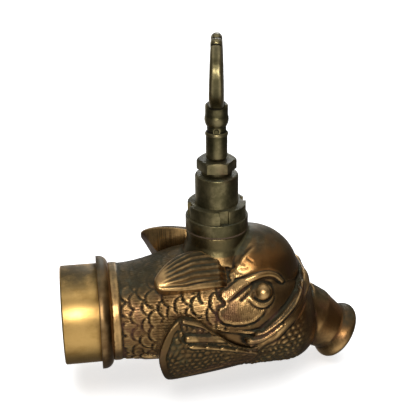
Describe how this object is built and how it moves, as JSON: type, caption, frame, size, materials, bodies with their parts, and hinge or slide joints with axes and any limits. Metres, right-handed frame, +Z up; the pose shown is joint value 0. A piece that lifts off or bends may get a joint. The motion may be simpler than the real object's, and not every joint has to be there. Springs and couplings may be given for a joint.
{
  "type": "fish-head spout valve",
  "caption": "Cast brass fish-head water outlet: pipe socket, scaled neck with fins, tapered snout spout and a screw-down stop valve turned by a ring handle on top.",
  "frame": {"origin": "centre of the inlet socket's mouth", "axes": "-X is out of the inlet, +X along the neck towards the snout, +Z up the valve stem"},
  "size_m": [0.2061, 0.1024, 0.2373],
  "materials": {
    "bright_brass": "turned and brushed, bright",
    "ring_brass": "turned, golden brown",
    "cast_brass": "cast, brown patina with worn raised edges",
    "valve_brass": "turned, dark olive patina",
    "handle_brass": "cast, olive brown patina",
    "seat_bronze": "machined",
    "leather": "oiled",
    "packing": "greased braid"
  },
  "bodies": {
    "casting": {"inlet_sleeve": "bright_brass", "collar_ring": "ring_brass", "body_casting": "cast_brass", "upper_fin_left": "cast_brass", "upper_fin_right": "cast_brass", "lower_fin_left": "cast_brass", "lower_fin_right": "cast_brass", "valve_seat": "seat_bronze", "bonnet_gasket": "leather", "bonnet": "valve_brass", "packing_ring_lower": "packing", "packing_ring_middle": "packing", "packing_ring_upper": "packing", "gland_follower": "seat_bronze", "gland_nut": "valve_brass"},
    "valve": {"valve_disc": "seat_bronze", "disc_washer": "leather", "disc_nut": "seat_bronze", "swivel_nut": "seat_bronze"},
    "stem": {"spindle": "seat_bronze", "handle": "handle_brass", "handle_pin": "handle_brass"}
  },
  "joints": [
    {"name": "valve_lift", "type": "slide", "parent": "casting", "child": "valve", "axis": [0, 0, 1], "range_m": [0, 0.00675]},
    {"name": "spindle_turn", "type": "hinge", "parent": "valve", "child": "stem", "pos_m": [0.106, 0, 0.06], "axis": [0, 0, 1], "range_deg": [0, 810]}
  ],
  "couplings": [
    {"joint": "valve_lift", "follows": "spindle_turn", "m_per_rad": 0.00047746}
  ]
}
